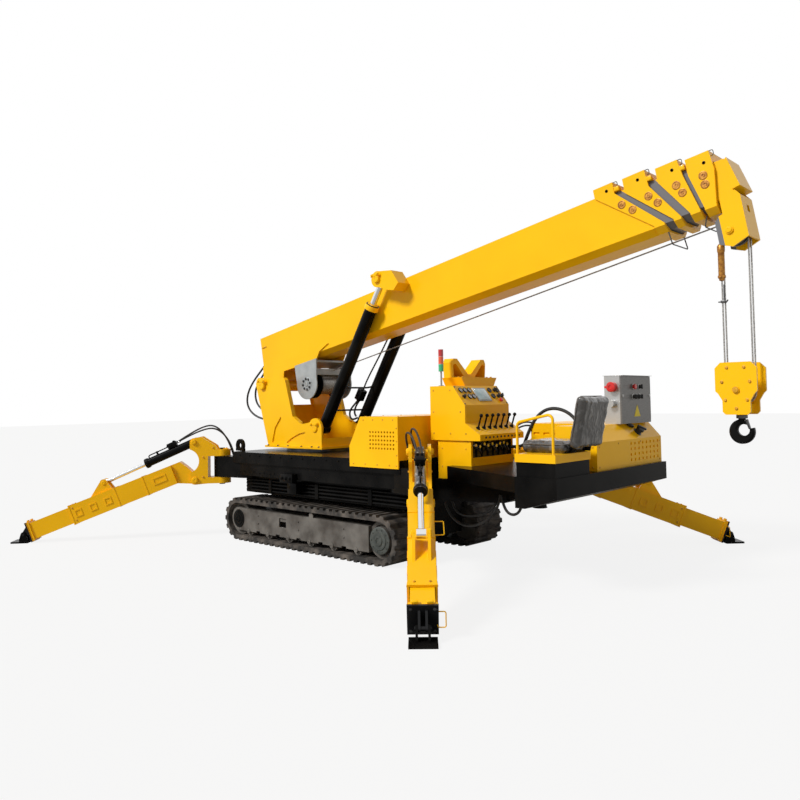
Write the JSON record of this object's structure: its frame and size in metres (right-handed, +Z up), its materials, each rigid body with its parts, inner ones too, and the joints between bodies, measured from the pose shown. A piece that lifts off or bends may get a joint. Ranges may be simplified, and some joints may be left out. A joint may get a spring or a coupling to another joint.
{
  "type": "spider crane, a mini crawler crane with folding outriggers",
  "caption": "Mini crawler crane standing on splayed folding outriggers, with a telescopic boom at rest over a rear-facing driver seat and a hook block on its rope falls.",
  "frame": {"origin": "on the floor, in the centre plane of the tracks and halfway along the whole machine as it stands", "axes": "+X to the driver end where the hook hangs, +Y to the far side, +Z up"},
  "size_m": [7.4698, 5.2074, 3.4014],
  "materials": {
    "yellow_paint": "gloss",
    "black_paint": "satin",
    "grey_paint": "satin",
    "dark_steel": "satin",
    "chrome": "polished",
    "rubber": "matt",
    "cast_iron": "matt",
    "plastic_red": "gloss",
    "seat_cover": "satin",
    "stainless": "brushed",
    "wire_rope": "matt"
  },
  "bodies": {
    "base": {"chassis_frame": "black_paint", "deck": "black_paint", "lifting_rings": "black_paint", "side_pipes": "black_paint", "tracks": "rubber", "track_frames": "grey_paint", "operator_platform": "black_paint", "engine_cover": "yellow_paint", "engine_block": "cast_iron", "console": "yellow_paint", "console_levers": "black_paint", "boom_rest": "yellow_paint", "signal_lamp": "plastic_red", "seat_tray": "yellow_paint", "seat": "seat_cover", "end_cover": "yellow_paint", "cabinet": "stainless", "slew_ring": "dark_steel"},
    "cabinet_door": {"cabinet_door": "stainless"},
    "mast": {"mast": "yellow_paint"},
    "boom_base": {"boom_base": "yellow_paint", "boom_lugs": "yellow_paint", "winch_frame": "grey_paint", "winch_drum": "black_paint"},
    "boom_2": {"boom_2": "yellow_paint"},
    "boom_3": {"boom_3": "yellow_paint"},
    "boom_4": {"boom_4": "yellow_paint"},
    "boom_5": {"boom_5": "yellow_paint", "head_sheaves": "dark_steel"},
    "hook_block": {"hook_block": "yellow_paint", "hook": "dark_steel", "rope_falls": "wire_rope"},
    "luff_barrels": {"luff_barrels": "black_paint"},
    "luff_rods": {"luff_rods": "chrome"},
    "yoke_rear_near": {"yoke_rear_near": "yellow_paint"},
    "arm_rear_near": {"arm_rear_near": "yellow_paint"},
    "inner_arm_rear_near": {"inner_arm_rear_near": "yellow_paint"},
    "foot_rear_near": {"foot_rear_near": "black_paint"},
    "leg_barrel_rear_near": {"leg_barrel_rear_near": "black_paint"},
    "leg_rod_rear_near": {"leg_rod_rear_near": "chrome"},
    "yoke_rear_far": {"yoke_rear_far": "yellow_paint"},
    "arm_rear_far": {"arm_rear_far": "yellow_paint"},
    "inner_arm_rear_far": {"inner_arm_rear_far": "yellow_paint"},
    "foot_rear_far": {"foot_rear_far": "black_paint"},
    "leg_barrel_rear_far": {"leg_barrel_rear_far": "black_paint"},
    "leg_rod_rear_far": {"leg_rod_rear_far": "chrome"},
    "yoke_front_near": {"yoke_front_near": "yellow_paint"},
    "arm_front_near": {"arm_front_near": "yellow_paint"},
    "inner_arm_front_near": {"inner_arm_front_near": "yellow_paint"},
    "foot_front_near": {"foot_front_near": "black_paint"},
    "leg_barrel_front_near": {"leg_barrel_front_near": "black_paint"},
    "leg_rod_front_near": {"leg_rod_front_near": "chrome"},
    "yoke_front_far": {"yoke_front_far": "yellow_paint"},
    "arm_front_far": {"arm_front_far": "yellow_paint"},
    "inner_arm_front_far": {"inner_arm_front_far": "yellow_paint"},
    "foot_front_far": {"foot_front_far": "black_paint"},
    "leg_barrel_front_far": {"leg_barrel_front_far": "black_paint"},
    "leg_rod_front_far": {"leg_rod_front_far": "chrome"}
  },
  "joints": [
    {"name": "cabinet_door_hinge", "type": "hinge", "parent": "base", "child": "cabinet_door", "pos_m": [2.48625, 0.881, 1.526], "axis": [0, 0, 1], "range_deg": [0, 110]},
    {"name": "slew", "type": "hinge", "parent": "base", "child": "mast", "pos_m": [-1.13105, 0, 1.0343], "axis": [0, 0, 1], "continuous": true},
    {"name": "luff", "type": "hinge", "parent": "mast", "child": "boom_base", "pos_m": [-1.73105, 0, 1.76], "axis": [0, -1, 0], "range_deg": [-11, 57]},
    {"name": "luff_barrel_pivot", "type": "hinge", "parent": "mast", "child": "luff_barrels", "pos_m": [-0.79805, 0, 1.262], "axis": [0, -1, 0], "range_deg": [-9.78, 49.86]},
    {"name": "luff_rod_slide", "type": "slide", "parent": "luff_barrels", "child": "luff_rods", "axis": [0.5261, 0, 0.8504], "range_m": [-0.1897, 0.9707]},
    {"name": "boom_2_slide", "type": "slide", "parent": "boom_base", "child": "boom_2", "axis": [0.9834, 0, 0.1814], "range_m": [0, 3.2]},
    {"name": "boom_3_slide", "type": "slide", "parent": "boom_2", "child": "boom_3", "axis": [0.9834, 0, 0.1814], "range_m": [0, 3.2]},
    {"name": "boom_4_slide", "type": "slide", "parent": "boom_3", "child": "boom_4", "axis": [0.9834, 0, 0.1814], "range_m": [0, 3.2]},
    {"name": "boom_5_slide", "type": "slide", "parent": "boom_4", "child": "boom_5", "axis": [0.9834, 0, 0.1814], "range_m": [0, 3.2]},
    {"name": "hook_block_swing", "type": "hinge", "parent": "boom_5", "child": "hook_block", "pos_m": [3.60862, 0, 2.7794], "axis": [0, -1, 0], "range_deg": [-57.2, 11.2]},
    {"name": "swing_rear_near", "type": "hinge", "parent": "base", "child": "yoke_rear_near", "pos_m": [-2.06105, -0.78, 0.8], "axis": [0, 0, 1], "range_deg": [-43.1, 36.9]},
    {"name": "lift_rear_near", "type": "hinge", "parent": "yoke_rear_near", "child": "arm_rear_near", "pos_m": [-2.2614, -1.00329, 0.668], "axis": [-0.7443, 0.6678, 0], "range_deg": [-4, 50]},
    {"name": "leg_barrel_pivot_rear_near", "type": "hinge", "parent": "yoke_rear_near", "child": "leg_barrel_rear_near", "pos_m": [-2.26941, -1.01222, 1.11], "axis": [-0.7443, 0.6678, 0], "range_deg": [-4.15, 49.59]},
    {"name": "leg_rod_slide_rear_near", "type": "slide", "parent": "leg_barrel_rear_near", "child": "leg_rod_rear_near", "axis": [-0.6123, -0.6824, -0.3993], "range_m": [-0.3782, 0.033]},
    {"name": "extend_rear_near", "type": "slide", "parent": "arm_rear_near", "child": "inner_arm_rear_near", "axis": [-0.6243, -0.6958, -0.355], "range_m": [-0.46, 0.453]},
    {"name": "foot_tilt_rear_near", "type": "hinge", "parent": "inner_arm_rear_near", "child": "foot_rear_near", "pos_m": [-3.56033, -2.45098, 0.092], "axis": [-0.7443, 0.6678, 0], "range_deg": [-16, 16]},
    {"name": "swing_rear_far", "type": "hinge", "parent": "base", "child": "yoke_rear_far", "pos_m": [-2.06105, 0.78, 0.8], "axis": [0, 0, -1], "range_deg": [-43.1, 36.9]},
    {"name": "lift_rear_far", "type": "hinge", "parent": "yoke_rear_far", "child": "arm_rear_far", "pos_m": [-2.2614, 1.00329, 0.668], "axis": [0.7443, 0.6678, 0], "range_deg": [-4, 50]},
    {"name": "leg_barrel_pivot_rear_far", "type": "hinge", "parent": "yoke_rear_far", "child": "leg_barrel_rear_far", "pos_m": [-2.26941, 1.01222, 1.11], "axis": [0.7443, 0.6678, 0], "range_deg": [-4.15, 49.59]},
    {"name": "leg_rod_slide_rear_far", "type": "slide", "parent": "leg_barrel_rear_far", "child": "leg_rod_rear_far", "axis": [-0.6123, 0.6824, -0.3993], "range_m": [-0.3782, 0.033]},
    {"name": "extend_rear_far", "type": "slide", "parent": "arm_rear_far", "child": "inner_arm_rear_far", "axis": [-0.6243, 0.6958, -0.355], "range_m": [-0.46, 0.453]},
    {"name": "foot_tilt_rear_far", "type": "hinge", "parent": "inner_arm_rear_far", "child": "foot_rear_far", "pos_m": [-3.56033, 2.45098, 0.092], "axis": [0.7443, 0.6678, 0], "range_deg": [-16, 16]},
    {"name": "swing_front_near", "type": "hinge", "parent": "base", "child": "yoke_front_near", "pos_m": [1.06895, -0.78, 0.8], "axis": [0, 0, -1], "range_deg": [-18.4, 36.6]},
    {"name": "lift_front_near", "type": "hinge", "parent": "yoke_front_near", "child": "arm_front_near", "pos_m": [1.26813, -1.00434, 0.668], "axis": [-0.7478, -0.6639, 0], "range_deg": [-4, 50]},
    {"name": "leg_barrel_pivot_front_near", "type": "hinge", "parent": "yoke_front_near", "child": "leg_barrel_front_near", "pos_m": [1.27609, -1.01331, 1.11], "axis": [-0.7478, -0.6639, 0], "range_deg": [-4.04, 48.23]},
    {"name": "leg_rod_slide_front_near", "type": "slide", "parent": "leg_barrel_front_near", "child": "leg_rod_front_near", "axis": [0.5933, -0.6682, -0.4489], "range_m": [-0.374, 0.0327]},
    {"name": "extend_front_near", "type": "slide", "parent": "arm_front_near", "child": "inner_arm_front_near", "axis": [0.6041, -0.6804, -0.4148], "range_m": [-0.159, 0.754]},
    {"name": "foot_tilt_front_near", "type": "hinge", "parent": "inner_arm_front_near", "child": "foot_front_near", "pos_m": [2.35033, -2.22325, 0.092], "axis": [-0.7478, -0.6639, 0], "range_deg": [-16, 16]},
    {"name": "swing_front_far", "type": "hinge", "parent": "base", "child": "yoke_front_far", "pos_m": [1.06895, 0.78, 0.8], "axis": [0, 0, 1], "range_deg": [-14.8, 40.2]},
    {"name": "lift_front_far", "type": "hinge", "parent": "yoke_front_far", "child": "arm_front_far", "pos_m": [1.28182, 0.99139, 0.668], "axis": [0.7046, -0.7096, 0], "range_deg": [-4, 50]},
    {"name": "leg_barrel_pivot_front_far", "type": "hinge", "parent": "yoke_front_far", "child": "leg_barrel_front_far", "pos_m": [1.29034, 0.99985, 1.11], "axis": [0.7046, -0.7096, 0], "range_deg": [-4.14, 49.48]},
    {"name": "leg_rod_slide_front_far", "type": "slide", "parent": "leg_barrel_front_far", "child": "leg_rod_front_far", "axis": [0.6492, 0.6447, -0.4035], "range_m": [-0.3777, 0.033]},
    {"name": "extend_front_far", "type": "slide", "parent": "arm_front_far", "child": "inner_arm_front_far", "axis": [0.662, 0.6574, -0.36], "range_m": [-0.431, 0.482]},
    {"name": "foot_tilt_front_far", "type": "hinge", "parent": "inner_arm_front_far", "child": "foot_front_far", "pos_m": [2.64065, 2.34077, 0.092], "axis": [0.7046, -0.7096, 0], "range_deg": [-16, 16]}
  ],
  "couplings": [
    {"joint": "luff_barrel_pivot", "follows": "luff", "ratio": 0.8712},
    {"joint": "luff_rod_slide", "follows": "luff", "m_per_rad": 0.9727},
    {"joint": "boom_3_slide", "follows": "boom_2_slide", "ratio": 1},
    {"joint": "boom_4_slide", "follows": "boom_2_slide", "ratio": 1},
    {"joint": "boom_5_slide", "follows": "boom_2_slide", "ratio": 1},
    {"joint": "hook_block_swing", "follows": "luff", "ratio": -1},
    {"joint": "leg_barrel_pivot_rear_near", "follows": "lift_rear_near", "ratio": 0.9878},
    {"joint": "leg_rod_slide_rear_near", "follows": "lift_rear_near", "m_per_rad": -0.4299},
    {"joint": "leg_barrel_pivot_rear_far", "follows": "lift_rear_far", "ratio": 0.9878},
    {"joint": "leg_rod_slide_rear_far", "follows": "lift_rear_far", "m_per_rad": -0.4299},
    {"joint": "leg_barrel_pivot_front_near", "follows": "lift_front_near", "ratio": 0.9606},
    {"joint": "leg_rod_slide_front_near", "follows": "lift_front_near", "m_per_rad": -0.4251},
    {"joint": "leg_barrel_pivot_front_far", "follows": "lift_front_far", "ratio": 0.9855},
    {"joint": "leg_rod_slide_front_far", "follows": "lift_front_far", "m_per_rad": -0.4294}
  ]
}
